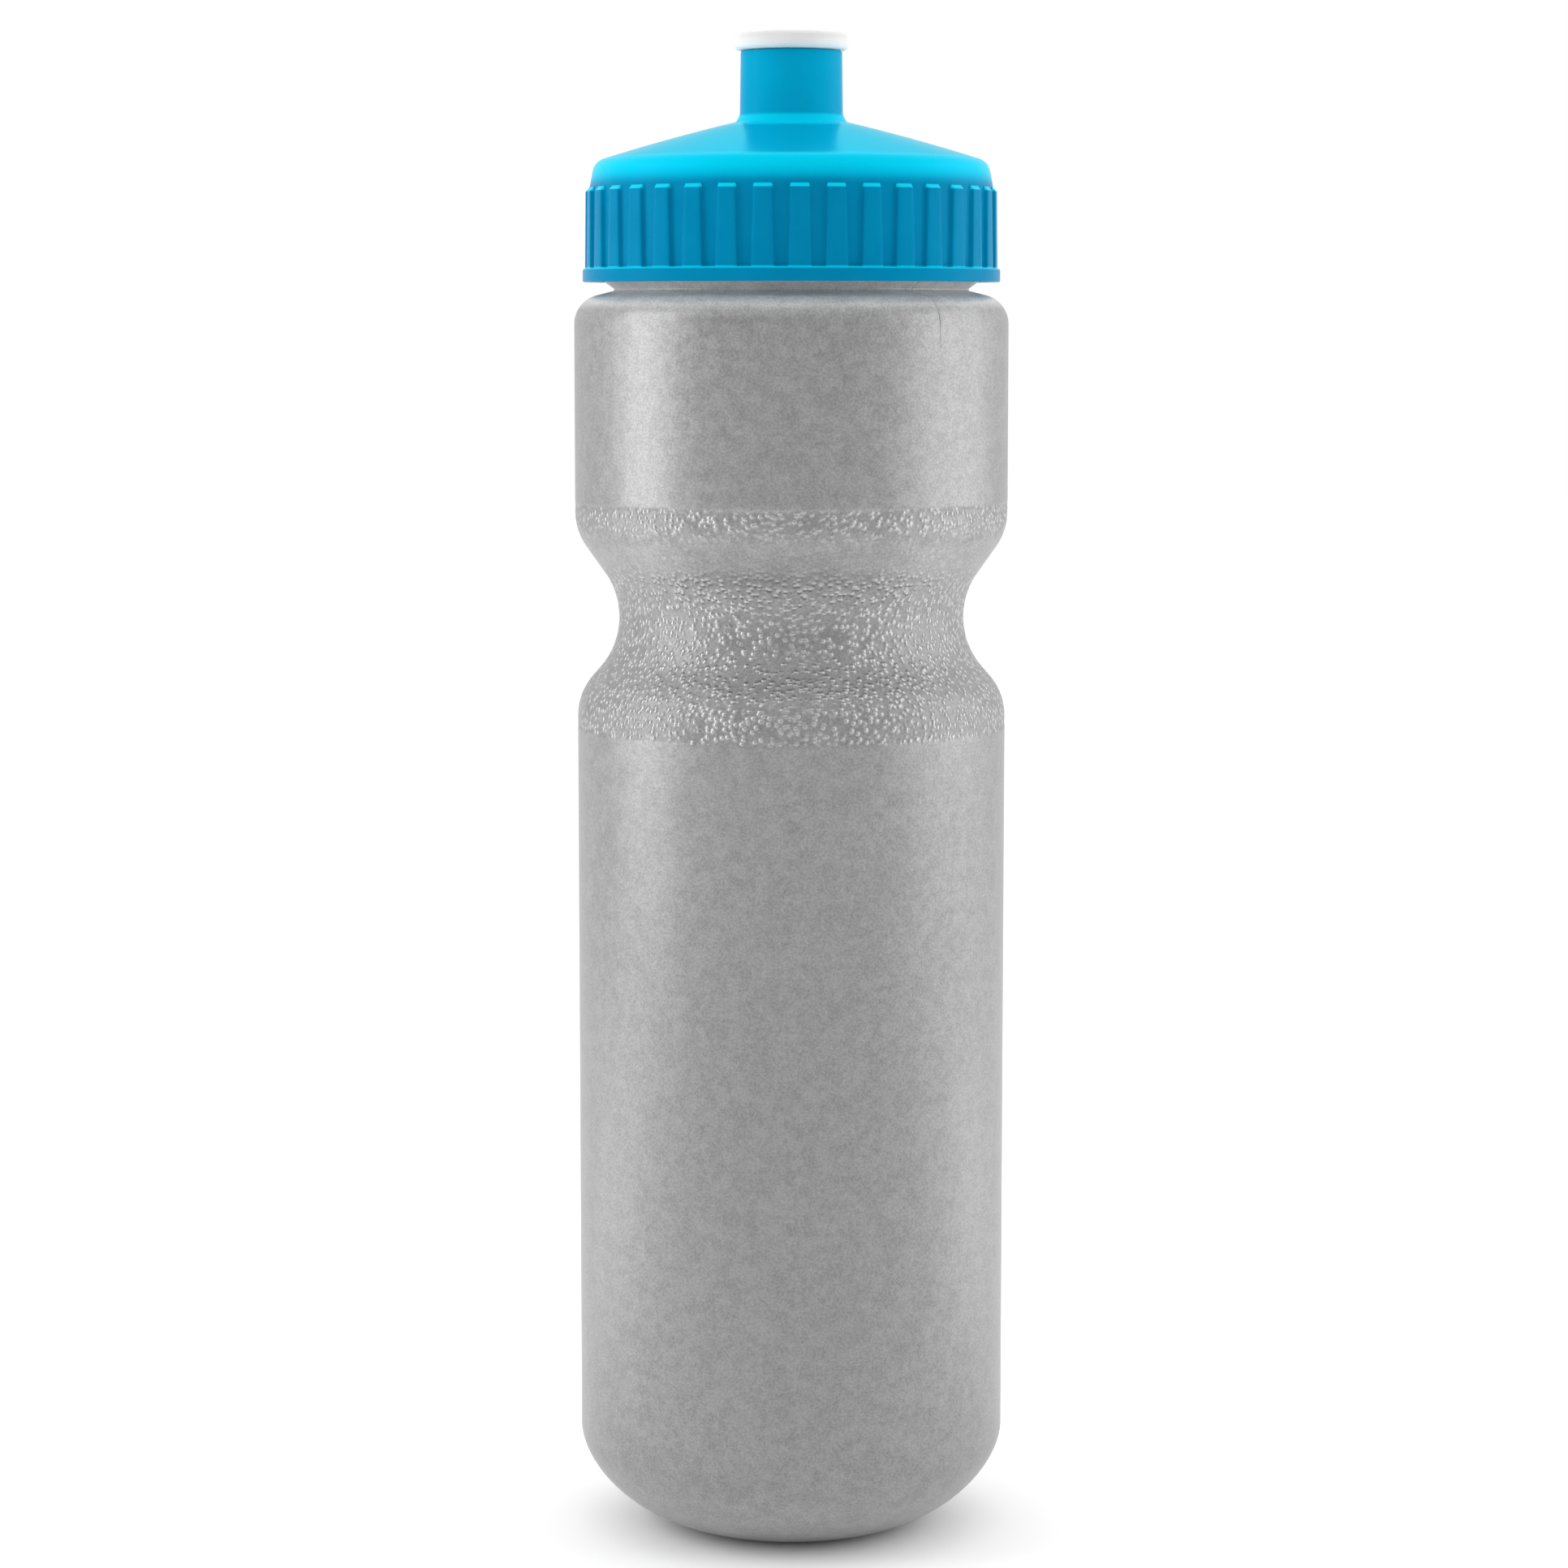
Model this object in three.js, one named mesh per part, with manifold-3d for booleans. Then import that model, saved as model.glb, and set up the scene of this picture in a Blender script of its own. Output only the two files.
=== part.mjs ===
// A soft squeeze bottle for a bicycle cage, with a ribbed screw lid and a push-pull drinking valve.
// Millimetres, +Z up. The origin is the middle of the surface that the bottle stands on.
import * as THREE from "three";
import { ConvexGeometry } from "three/addons/geometries/ConvexGeometry.js";
import { mergeVertices } from "three/addons/utils/BufferGeometryUtils.js";
import Module from "manifold-3d";

const wasm = await Module();
wasm.setup();

const DEG = Math.PI / 180;
const GAP = 0.3; // clearance between pieces that touch
const EDGE = 0.4; // chamfer on small moulded edges

// ---- Driving dimensions: bottle
const bodyHeight = 208.9; // where the upper wall would meet the shoulder cone
const upperRadius = 36.5;
const lowerStepIn = 0.3; // the lower wall is this much narrower in radius
const bodyWall = 1.15;
const standRadius = 16.2; // outer edge of the ring that the bottle stands on
const standWidth = 3.7;
const recessRound = 0.7; // where the recess bends, as a share of the way out to the ring
const baseCornerHeight = 16.5;
const baseCornerPower = 1.7; // 2 would be an ellipse
const recessDepth = 2.6;
const waistHeight = 155.85; // height of the narrowest part
const waistDepth = 7.35; // below the upper wall
const waistBlend = 13; // radius of the hollow curve
const waistEdgeBlend = 10; // radius of the curves into the walls
const waistUpperSlope = 35 * DEG; // from the vertical
const waistLowerSlope = 41 * DEG;
const shoulderSlope = 14 * DEG; // from the horizontal
const shoulderBlend = 5;

// ---- Driving dimensions: neck and thread
const neckRadius = 30.2;
const neckWall = 1.8;
const neckHeight = 15.85; // from the foot of the neck to the lip
const grooveDepth = 0.4; // of the groove under the bead
const beadFoot = 0.35; // start of the bead's flare above the foot of the neck
const beadFlare = 1.25; // height of the flare
const beadHeight = 1.0;
const threadPitch = 4.233;
const threadTurns = 1.5;
const threadStand = 0.3; // centre of the neck thread's section outside the neck wall
const threadSpacing = 1.2; // from the neck thread's centre line out to the lid thread's
const threadFlankPlay = 0.333; // between the two threads, which lie half a pitch apart
const threadStart = 6.6; // centre of the neck thread's start above the foot of the neck
const threadRadialPlay = 0.45; // crest to the facing wall
const threadFade = 1 / 12; // share of the thread's length over which each end sinks into the wall
const neckThreadSink = 0.9;
const lidThreadSink = 0.65;

// ---- Driving dimensions: sealing ring
const gasketThickness = 1.5;
const gasketSideGap = 0.4;
const gasketOverhang = 0.45; // of the ring's bore inside the neck's bore

// ---- Driving dimensions: lid
const lidFootGap = 1.45; // under the lid, above the foot of the neck
const lidWallBottom = 1.9;
const lidWallTop = 1.6;
const ribCount = 36;
const ribPhase = -87.8 * DEG; // direction of one rib's centre
const ribHeight = 0.8;
const ribWidthBottom = 3.5;
const ribWidthTop = 2.7;
const ribChamfer = 0.5;
const ribRoot = 0.8; // how deep a rib's solid is set into the skirt
const ribTopDrop = 0.45; // rib tops below the lid's deck
const ribOverlap = 0.2; // how far the ribs reach down into the bottom bead
const skirtBeadStand = 1.2;
const skirtBeadHeight = 2.3;
const skirtBeadRound = 0.6;
const skirtFootChamfer = 0.3;
const shoulderRise = 3.17; // from the deck to where skirt and cone would meet
const shoulderDraft = 0.35; // how far the skirt leans in above the ribs
const lidShoulderBlend = 1.6;
const coneWall = 1.8;
const coneSlope = 16.03 * DEG;
const coneBulge = 0.18;
const deckWidth = 4.5; // of the flat that the sealing ring meets

// ---- Driving dimensions: spout, pin and valve
const spoutRadius = 8.48;
const spoutDraft = 0.14; // extra radius at the foot
const spoutFlare = 0.7;
const spoutFlareHeight = 1.1;
const spoutHeight = 11.85;
const spoutWall = 0.98;
const catchStand = 0.55; // the spout's inner catch, from the bore
const catchHeight = 1.2;
const pinRadius = 2.1;
const pinFootExtra = 0.7;
const pinFootHeight = 3;
const pinTipRound = 0.6;
const pinRecess = 0.45; // pin's tip below the valve's top
const spokeCount = 3;
const spokeWidth = 1.8;
const spokeHeight = 1.8;
const spokeLift = 0.25; // above the foot of the bore
const valveTravel = 6;
const valveFlange = 2.75; // thickness
const valveFlangeRadius = 9.8;
const valveFlangeFoot = 8.3;
const valveFlangeRound = 1; // how far the flat top stops short of the edge
const valveWall = 1.4;
const valveTopWall = 1.5;
const valveBeadHeight = 1.2;
const barrelPlay = 0.35;

// ---- Facets
const BODY_SIDES = 40;
const LID_SIDES = 54;
const SPOUT_SIDES = 30;
const PIN_SIDES = 12;
const THREAD_SIDES = 6;
const THREAD_STEPS_PER_TURN = 36;

// ---- Sizes that follow
const lowerRadius = upperRadius - lowerStepIn;
const neckBore = neckRadius - neckWall;
const neckFoot = bodyHeight + (upperRadius - neckRadius + grooveDepth) * Math.tan(shoulderSlope);
const lip = neckFoot + neckHeight;
const threadRadius = (Math.hypot(threadSpacing, threadPitch / 2) - threadFlankPlay) / 2;
const neckThreadPath = neckRadius + threadStand;
const lidBore = neckThreadPath + threadRadius + threadRadialPlay;
const lidThreadPath = neckThreadPath + threadSpacing;
const lidFoot = neckFoot + lidFootGap;
const deck = lip + GAP + gasketThickness + GAP;
const skirtRadiusBottom = lidBore + lidWallBottom;
const skirtRadiusTop = lidBore + lidWallTop;
const coneEdgeRadius = skirtRadiusTop - shoulderDraft;
const coneEdge = deck + shoulderRise;
const spoutFootRadius = spoutRadius + spoutDraft + spoutFlare;
const spoutFoot = coneEdge + (coneEdgeRadius - spoutFootRadius) * Math.tan(coneSlope);
const spoutTop = spoutFoot + spoutHeight;
const spoutBore = spoutRadius - spoutWall;
const catchRadius = spoutBore - catchStand;
const valveFoot = spoutTop + GAP;
const valveTop = valveFoot + valveFlange;
const barrelRadius = catchRadius - barrelPlay;
const valveBore = barrelRadius - valveWall;
const valveHole = pinRadius + GAP;
const valveBeadRadius = spoutBore - GAP;
const valveBeadTop = spoutTop - catchHeight - valveTravel - GAP;
const spokeFoot = spoutFoot - coneWall + spokeLift;

// ---- Outlines: lists of [radius, height]

// Points on an arc about [r, z], angles from the outward direction towards +Z.
function arc(centre, radius, from, to, steps) {
  return Array.from({ length: steps + 1 }, (_, i) => {
    const angle = from + ((to - from) * i) / steps;
    return [centre[0] + radius * Math.cos(angle), centre[1] + radius * Math.sin(angle)];
  });
}

// Points that round off the corner between the directions to two other points.
function rounded(before, corner, after, radius, steps) {
  const a = new THREE.Vector2(before[0] - corner[0], before[1] - corner[1]).normalize();
  const b = new THREE.Vector2(after[0] - corner[0], after[1] - corner[1]).normalize();
  const half = Math.acos(a.dot(b)) / 2;
  const middle = a.clone().add(b).normalize().multiplyScalar(radius / Math.sin(half));
  const centre = [corner[0] + middle.x, corner[1] + middle.y];
  const start = a.multiplyScalar(radius / Math.tan(half)).sub(middle).angle();
  const end = b.multiplyScalar(radius / Math.tan(half)).sub(middle).angle();
  const turn = THREE.MathUtils.euclideanModulo(end - start + Math.PI, 2 * Math.PI) - Math.PI;
  return arc(centre, radius, start, start + turn, steps);
}

// The outline moved sideways by a distance, to the left of its direction of travel.
function offset(points, distance) {
  return points.map((point, i) => {
    const before = points[Math.max(i - 1, 0)];
    const after = points[Math.min(i + 1, points.length - 1)];
    const along = new THREE.Vector2(after[0] - before[0], after[1] - before[1]).normalize();
    return [Math.max(point[0] - along.y * distance, 0), point[1] + along.x * distance];
  });
}

// The bottle's skin from the middle of the base to the foot of the neck, with finer curves for more steps.
function bodySkin(steps) {
  const standInner = standRadius - standWidth;
  const corner = Array.from({ length: 2 * steps + 1 }, (_, i) => {
    const angle = (i / (2 * steps)) * (Math.PI / 2);
    const across = lowerRadius - standRadius;
    return [
      standRadius + across * Math.sin(angle) ** (2 / baseCornerPower),
      baseCornerHeight * (1 - Math.cos(angle) ** (2 / baseCornerPower)),
    ];
  });
  const throat = [upperRadius - waistDepth + waistBlend, waistHeight];
  const hollow = arc(throat, waistBlend, Math.PI + waistLowerSlope, Math.PI - waistUpperSlope, 2 * steps);
  const low = hollow[0];
  const high = hollow[hollow.length - 1];
  const lowEdge = [lowerRadius, low[1] - (lowerRadius - low[0]) / Math.tan(waistLowerSlope)];
  const highEdge = [upperRadius, high[1] + (upperRadius - high[0]) / Math.tan(waistUpperSlope)];
  const shoulderEdge = [upperRadius, bodyHeight];
  const foot = [neckRadius - grooveDepth, neckFoot];
  return [
    [0, recessDepth],
    [standInner * recessRound, recessDepth * recessRound],
    [standInner, 0],
    ...corner,
    ...rounded([lowerRadius, 0], lowEdge, low, waistEdgeBlend, steps),
    ...hollow,
    ...rounded(high, highEdge, shoulderEdge, waistEdgeBlend, steps),
    ...rounded([upperRadius, 0], shoulderEdge, foot, shoulderBlend, steps),
    foot,
  ];
}

// The whole bottle wall: up the outside, over the lip, and down the inside to the axis.
function bodyOutline() {
  const outside = bodySkin(4);
  const foot = outside[outside.length - 1];
  const bead = neckFoot + beadFoot + beadFlare;
  const beadRadius = lidBore - threadRadialPlay;
  const inside = offset(bodySkin(2).slice(0, -1), bodyWall);
  return [
    ...outside,
    [foot[0], neckFoot + beadFoot],
    [beadRadius, bead],
    [beadRadius, bead + beadHeight],
    [neckRadius, bead + beadHeight + beadRadius - neckRadius],
    [neckRadius, lip - EDGE],
    [neckRadius - EDGE, lip],
    [neckBore, lip],
    [neckBore, neckFoot - bodyWall],
    ...inside.reverse(),
  ];
}

// The top of the cone, from its edge in to the foot of the spout.
function coneSkin() {
  const steps = 6;
  return Array.from({ length: steps + 1 }, (_, i) => {
    const u = i / steps;
    const radius = coneEdgeRadius + (spoutFootRadius - coneEdgeRadius) * u;
    const straight = coneEdge + (coneEdgeRadius - radius) * Math.tan(coneSlope);
    return [radius, straight + 4 * coneBulge * u * (1 - u)];
  });
}

// The lid's skirt and cone: up the outside, and back under the cone and down the skirt's bore.
function lidShellOutline() {
  const beadRadius = skirtRadiusBottom + skirtBeadStand;
  const beadTop = lidFoot + skirtBeadHeight;
  const beadCentre = [beadRadius - skirtBeadRound, beadTop - skirtBeadRound];
  const cone = coneSkin();
  const innerEdge = spoutFootRadius - spoutWall;
  const underRim = lidBore - deckWidth;
  const underside = cone.slice(1, -1).filter(([r]) => r < underRim - coneWall);
  return [
    [lidBore, lidFoot],
    [beadRadius - skirtFootChamfer, lidFoot],
    [beadRadius, lidFoot + skirtFootChamfer],
    ...arc(beadCentre, skirtBeadRound, 0, Math.PI / 2, 3),
    [skirtRadiusBottom, beadTop],
    [skirtRadiusTop, deck - ribTopDrop],
    ...rounded([skirtRadiusTop, deck - ribTopDrop], cone[0], cone[1], lidShoulderBlend, 4),
    ...cone.slice(1, -1),
    [innerEdge, spoutFoot],
    [innerEdge, spoutFoot - coneWall],
    ...underside.reverse().map(([r, z]) => [r, z - coneWall]),
    [underRim, coneEdge + (coneEdgeRadius - underRim) * Math.tan(coneSlope) - coneWall],
    [underRim, deck],
    [lidBore, deck],
  ];
}

// The spout tube, with the catch that keeps the valve in at the top of its bore.
function spoutOutline() {
  return [
    [spoutBore, spoutFoot - coneWall],
    [spoutFootRadius, spoutFoot - coneWall],
    [spoutFootRadius, spoutFoot],
    [spoutRadius + spoutDraft, spoutFoot + spoutFlareHeight],
    [spoutRadius, spoutTop - EDGE],
    [spoutRadius - EDGE, spoutTop],
    [catchRadius, spoutTop],
    [catchRadius, spoutTop - catchHeight],
    [spoutBore, spoutTop - catchHeight],
  ];
}

// The fixed pin that plugs the valve's hole.
function pinOutline() {
  const tip = valveTop - pinRecess;
  return [
    [0, spokeFoot],
    [pinRadius + pinFootExtra, spokeFoot],
    [pinRadius + pinFootExtra, spokeFoot + spokeHeight],
    [pinRadius, spokeFoot + pinFootHeight],
    ...arc([pinRadius - pinTipRound, tip - pinTipRound], pinTipRound, 0, Math.PI / 2, 3),
    [0, tip],
  ];
}

// The valve: barrel with its snap bead, and the flange with the drinking hole.
function valveOutline() {
  const barrelFoot = valveBeadTop - valveBeadHeight;
  const flange = new THREE.SplineCurve([
    new THREE.Vector2(valveFlangeFoot, valveFoot),
    new THREE.Vector2(valveFlangeRadius - valveFlangeRound / 4, valveFoot + 0.3 * valveFlange),
    new THREE.Vector2(valveFlangeRadius, valveFoot + 0.57 * valveFlange),
    new THREE.Vector2(valveFlangeRadius - valveFlangeRound / 5, valveFoot + 0.82 * valveFlange),
    new THREE.Vector2(valveFlangeRadius - valveFlangeRound, valveTop),
  ]);
  return [
    [valveBore, barrelFoot],
    [barrelRadius, barrelFoot],
    [valveBeadRadius, barrelFoot + valveBeadHeight / 2],
    [valveBeadRadius, valveBeadTop],
    [barrelRadius, valveBeadTop],
    [barrelRadius, valveFoot],
    ...flange.getPoints(8).map((point) => [point.x, point.y]),
    [valveHole + EDGE, valveTop],
    [valveHole, valveTop - EDGE],
    [valveHole, valveTop - valveTopWall],
    [valveBore, valveTop - valveTopWall],
  ];
}

// ---- Solids

// A manifold-3d solid of a closed three.js geometry.
function solid(geometry) {
  const bare = geometry.clone();
  bare.deleteAttribute("normal");
  bare.deleteAttribute("uv");
  const merged = mergeVertices(bare, 1e-4);
  const vertProperties = merged.attributes.position.array;
  const triVerts = new Uint32Array(merged.index.array);
  return new wasm.Manifold(new wasm.Mesh({ numProp: 3, vertProperties, triVerts }));
}

// A three.js geometry of a manifold-3d solid, with flat-shaded facets.
function geometryOf(made) {
  const mesh = made.getMesh();
  const positions = new Float32Array(mesh.numVert * 3);
  for (let i = 0; i < mesh.numVert; i++) {
    positions.set(mesh.vertProperties.subarray(i * mesh.numProp, i * mesh.numProp + 3), i * 3);
  }
  const geometry = new THREE.BufferGeometry();
  geometry.setAttribute("position", new THREE.BufferAttribute(positions, 3));
  geometry.setIndex(new THREE.BufferAttribute(mesh.triVerts, 1));
  geometry.computeVertexNormals();
  return geometry;
}

// A body of revolution about Z from an outline, which closes on itself or ends on the axis.
function turned(outline, sides) {
  const points = outline.map(([r, z]) => new THREE.Vector2(r, z));
  const ends = [outline[0], outline[outline.length - 1]];
  if (ends.some(([r]) => r > 0)) points.push(points[0].clone());
  return solid(new THREE.LatheGeometry(points, sides).rotateX(Math.PI / 2));
}

// The centre line of a thread: a right-hand helix whose two ends sink into its wall.
class ThreadPath extends THREE.Curve {
  constructor(radius, startHeight, sink) {
    super();
    Object.assign(this, { radius, startHeight, sink });
  }
  getPoint(t) {
    const angle = 2 * Math.PI * threadTurns * t;
    const fade = Math.max(1 - Math.min(t, 1 - t) / threadFade, 0);
    const radius = this.radius + this.sink * fade ** 2;
    const height = this.startHeight + threadPitch * threadTurns * t;
    return new THREE.Vector3(radius * Math.cos(angle), radius * Math.sin(angle), height);
  }
}

function thread(radius, startHeight, sink) {
  const section = new THREE.Shape(
    Array.from({ length: THREAD_SIDES }, (_, i) => {
      const angle = (2 * Math.PI * i) / THREAD_SIDES;
      return new THREE.Vector2(threadRadius * Math.cos(angle), threadRadius * Math.sin(angle));
    }),
  );
  const steps = Math.round(THREAD_STEPS_PER_TURN * threadTurns);
  const extrudePath = new ThreadPath(radius, startHeight, sink);
  return solid(new THREE.ExtrudeGeometry(section, { steps, extrudePath }));
}

// One rib of the lid's grip, with its top edge chamfered towards the skirt.
function rib(angle) {
  const foot = lidFoot + skirtBeadHeight;
  const top = deck - ribTopDrop;
  const root = skirtRadiusTop - ribRoot;
  const corners = [
    [root, ribWidthBottom, foot - ribOverlap],
    [skirtRadiusBottom + ribHeight, ribWidthBottom, foot - ribOverlap],
    [root, ribWidthTop, top],
    [skirtRadiusTop + ribHeight - ribChamfer, ribWidthTop, top],
    [skirtRadiusTop + ribHeight, ribWidthTop, top - ribChamfer],
  ];
  const points = corners.flatMap(([r, width, z]) => [
    new THREE.Vector3(r, -width / 2, z),
    new THREE.Vector3(r, width / 2, z),
  ]);
  return solid(new ConvexGeometry(points).rotateZ(angle));
}

function spoke(angle) {
  const reach = spoutBore + spoutWall / 2;
  const bar = new THREE.BoxGeometry(reach, spokeWidth, spokeHeight);
  return solid(bar.translate(reach / 2, 0, spokeFoot + spokeHeight / 2).rotateZ(angle));
}

// ---- Pieces

function bottleBody() {
  const neckThread = thread(neckThreadPath, neckFoot + threadStart, -neckThreadSink);
  return turned(bodyOutline(), BODY_SIDES).add(neckThread);
}

function screwCap() {
  const lidThreadStart = neckFoot + threadStart - threadPitch / 2;
  let made = turned(lidShellOutline(), LID_SIDES)
    .add(turned(spoutOutline(), SPOUT_SIDES))
    .add(turned(pinOutline(), PIN_SIDES))
    .add(thread(lidThreadPath, lidThreadStart, lidThreadSink));
  for (let i = 0; i < ribCount; i++) {
    made = made.add(rib(ribPhase + (2 * Math.PI * i) / ribCount));
  }
  for (let i = 0; i < spokeCount; i++) {
    made = made.add(spoke((2 * Math.PI * i) / spokeCount));
  }
  return made;
}

function capGasket() {
  const low = lip + GAP;
  const high = low + gasketThickness;
  const inner = neckBore - gasketOverhang;
  const outer = lidBore - gasketSideGap;
  return turned([[inner, low], [outer, low], [outer, high], [inner, high]], BODY_SIDES);
}

function pushPullValve() {
  return turned(valveOutline(), SPOUT_SIDES);
}

// ---- Materials

function silverPolyethylene() {
  return new THREE.MeshStandardMaterial({ color: 0xa8a9ab, roughness: 0.38, metalness: 0.35 });
}

function cyanPolypropylene() {
  return new THREE.MeshStandardMaterial({ color: 0x0d9cc4, roughness: 0.16, metalness: 0 });
}

function whitePolyethylene() {
  return new THREE.MeshStandardMaterial({ color: 0xeeeeec, roughness: 0.45, metalness: 0 });
}

function paleSilicone() {
  return new THREE.MeshStandardMaterial({ color: 0xd8d8d4, roughness: 0.6, metalness: 0 });
}

function piece(name, made, material) {
  const mesh = new THREE.Mesh(geometryOf(made), material);
  mesh.name = name;
  return mesh;
}

const bottle = new THREE.Group();
bottle.add(piece("bottle_body", bottleBody(), silverPolyethylene()));
bottle.add(piece("cap_gasket", capGasket(), paleSilicone()));
bottle.add(piece("screw_cap", screwCap(), cyanPolypropylene()));
bottle.add(piece("push_pull_valve", pushPullValve(), whitePolyethylene()));

export default bottle;
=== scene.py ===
"""A silver squeeze bottle with a pebbled grip waist, a ribbed cyan screw lid and a white push-pull valve."""

import math

import bpy
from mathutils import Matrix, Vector


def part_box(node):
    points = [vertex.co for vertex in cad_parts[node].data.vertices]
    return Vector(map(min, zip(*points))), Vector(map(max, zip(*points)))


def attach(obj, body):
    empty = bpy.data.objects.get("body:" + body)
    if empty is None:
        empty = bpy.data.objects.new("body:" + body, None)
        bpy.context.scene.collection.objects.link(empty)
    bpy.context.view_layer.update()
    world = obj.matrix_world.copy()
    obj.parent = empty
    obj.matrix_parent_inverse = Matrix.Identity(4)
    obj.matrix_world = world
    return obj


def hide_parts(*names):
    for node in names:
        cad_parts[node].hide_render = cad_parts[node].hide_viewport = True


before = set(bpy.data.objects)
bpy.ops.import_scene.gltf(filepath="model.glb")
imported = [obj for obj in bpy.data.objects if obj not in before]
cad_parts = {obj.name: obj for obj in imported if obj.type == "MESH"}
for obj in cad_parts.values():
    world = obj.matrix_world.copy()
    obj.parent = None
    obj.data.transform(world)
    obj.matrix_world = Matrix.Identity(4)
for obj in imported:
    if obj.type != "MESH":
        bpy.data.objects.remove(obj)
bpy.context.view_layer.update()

MM = 0.001
TAU = 2 * math.pi
ROUNDING = 1e-9  # between numbers that are equal but for rounding


# ---- Sizes, from the frame's own boxes and the moulding's own details

def place(node):
    """Lowest height, highest height and outer radius of a CAD node."""
    low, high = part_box(node)
    return low.z, high.z, (high.x - low.x) / 2


BODY_FOOT, LIP, UPPER_RADIUS = place("bottle_body")
LID_FOOT, PIN_TIP, SKIRT_BEAD_RADIUS = place("screw_cap")
GASKET_FOOT, GASKET_TOP, GASKET_RADIUS = place("cap_gasket")
VALVE_END, VALVE_TOP, FLANGE_RADIUS = place("push_pull_valve")

# Bottle
LOWER_RADIUS = UPPER_RADIUS - 0.3 * MM
BODY_WALL = 1.15 * MM
STAND_RADIUS = 16.2 * MM
STAND_WIDTH = 3.7 * MM
RECESS_DEPTH = 2.6 * MM
BASE_CORNER_HEIGHT = 16.5 * MM
BASE_CORNER_POWER = 1.7
BASE_CORNER_STEPS = 24
NECK_HEIGHT = 15.85 * MM
NECK_FOOT = LIP - NECK_HEIGHT
NECK_RADIUS = 30.2 * MM
NECK_BORE = 28.4 * MM
GROOVE_RADIUS = 29.8 * MM
SHOULDER_SLOPE = math.radians(14)
SHOULDER_BLEND = 5 * MM
SHOULDER_EDGE = NECK_FOOT - (UPPER_RADIUS - GROOVE_RADIUS) * math.tan(SHOULDER_SLOPE)
WAIST_HEIGHT = 155.85 * MM
WAIST_DEPTH = 7.35 * MM
WAIST_BLEND = 13 * MM
WAIST_EDGE_BLEND = 10 * MM
WAIST_UPPER_SLOPE = math.radians(35)
WAIST_LOWER_SLOPE = math.radians(41)
BEAD_FOOT = 0.35 * MM
BEAD_FLARE = 1.25 * MM
BEAD_HEIGHT = 1.0 * MM
BEAD_PLAY = 0.45 * MM  # to the lid's bore

# Thread, shared by neck and lid
THREAD_PITCH = 4.233 * MM
THREAD_TURNS = 1.5
THREAD_START = NECK_FOOT + 6.6 * MM
THREAD_WIDTH = 1.9 * MM
NECK_THREAD_HEIGHT = 1.3 * MM
LID_THREAD_HEIGHT = 1.3 * MM
THREAD_FADE = 0.08  # share of a turn over which each end rises
THREAD_FLANK = 1.5  # steepness of the section's sides
THREAD_REACH = 1.1  # where they meet the wall, in half widths

# Lid
LID_BORE = 32.0 * MM
SKIRT_RADIUS_BOTTOM = 33.9 * MM
SKIRT_RADIUS_TOP = 33.75 * MM
SKIRT_BEAD_HEIGHT = 2.3 * MM
SKIRT_BEAD_TOP = LID_FOOT + SKIRT_BEAD_HEIGHT
DECK = GASKET_TOP + 0.3 * MM
DECK_WIDTH = 4.5 * MM
RIB_COUNT = 36
RIB_PHASE = math.radians(-87.8)
RIB_HEIGHT = 0.72 * MM
RIB_WIDTH_BOTTOM = 3.5 * MM
RIB_WIDTH_TOP = 2.7 * MM
RIB_FLANK = 0.22 * MM
RIB_EASE = 0.16 * MM
RIB_CHAMFER = 0.75 * MM
RIB_TOP = DECK - 0.75 * MM
CONE_EDGE_RADIUS = 33.0 * MM
CONE_EDGE = DECK + 3.47 * MM
CONE_SLOPE = math.radians(15.6)
CONE_BULGE = 0.24 * MM
CONE_STEPS = 14
CONE_WALL = 1.8 * MM
LID_SHOULDER_BLEND = 2.6 * MM
LID_ROW_STEP = 2.2 * MM
LID_CREASE = math.radians(50)
SPOUT_RADIUS = 8.48 * MM
SPOUT_DRAFT = 0.14 * MM
SPOUT_FLARE = 0.7 * MM
SPOUT_FLARE_HEIGHT = 1.5 * MM
SPOUT_FLARE_POWER = 1.4
SPOUT_FOOT_RADIUS = SPOUT_RADIUS + SPOUT_DRAFT + SPOUT_FLARE
SPOUT_FOOT = CONE_EDGE + (CONE_EDGE_RADIUS - SPOUT_FOOT_RADIUS) * math.tan(CONE_SLOPE)
SPOUT_TOP = VALVE_TOP - 3.07 * MM
SPOUT_BORE = 7.5 * MM
CATCH_RADIUS = 6.95 * MM
CATCH_HEIGHT = 1.2 * MM
PIN_RADIUS = 2.1 * MM
PIN_FOOT_RADIUS = 2.8 * MM
PIN_FOOT_HEIGHT = 3 * MM
SPOKE_COUNT = 3
SPOKE_WIDTH = 1.8 * MM
SPOKE_HEIGHT = 1.8 * MM
SPOKE_FOOT = SPOUT_FOOT - CONE_WALL + 0.25 * MM
SPOKE_EDGE = 0.3 * MM
SPOKE_SINK = 0.4 * MM  # into the spout's wall

# Valve and sealing ring
FLANGE_FOOT = SPOUT_TOP + 0.06 * MM
FLANGE_FOOT_RADIUS = 9.0 * MM
BARREL_RADIUS = 6.6 * MM
BARREL_BORE = 5.2 * MM
SNAP_BEAD_RADIUS = 7.2 * MM
SNAP_BEAD_HEIGHT = 1.2 * MM
DRINK_HOLE_RADIUS = 2.4 * MM
VALVE_TOP_WALL = 1.5 * MM
GASKET_BORE = 27.95 * MM

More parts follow.
